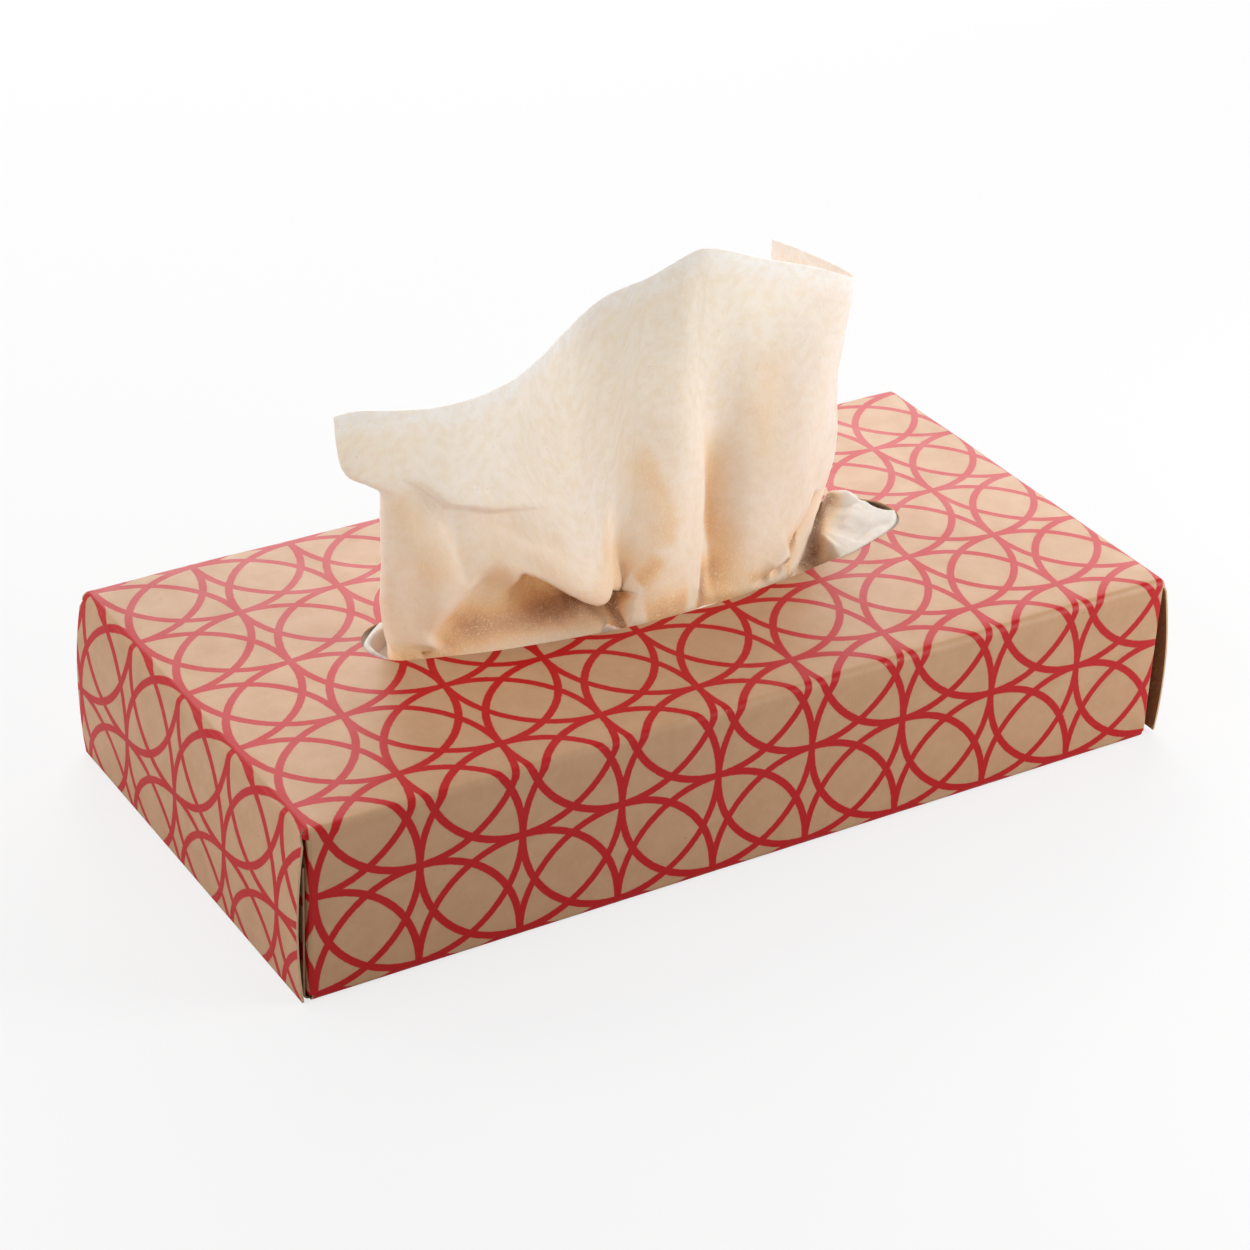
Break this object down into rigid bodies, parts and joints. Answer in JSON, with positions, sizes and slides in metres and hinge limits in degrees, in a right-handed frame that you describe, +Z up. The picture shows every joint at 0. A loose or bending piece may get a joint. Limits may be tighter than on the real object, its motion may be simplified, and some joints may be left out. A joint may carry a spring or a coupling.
{
  "type": "tissue box",
  "caption": "Flat rectangular carton of facial tissues with an oval opening in its top and a tissue pulled up through it, printed all over with overlapping circles.",
  "frame": {"origin": "on the table, under the middle of the carton's base", "axes": "+Z up, +X along the carton's long side, -Y out of the long front panel"},
  "size_m": [0.2339, 0.114, 0.1295],
  "materials": {
    "board": "matt printed board",
    "tissue": "soft unbleached tissue"
  },
  "bodies": {
    "root": {"carton": "board", "tissue_stack": "tissue", "next_tissue": "tissue", "pulled_tissue": "tissue"}
  },
  "joints": []
}
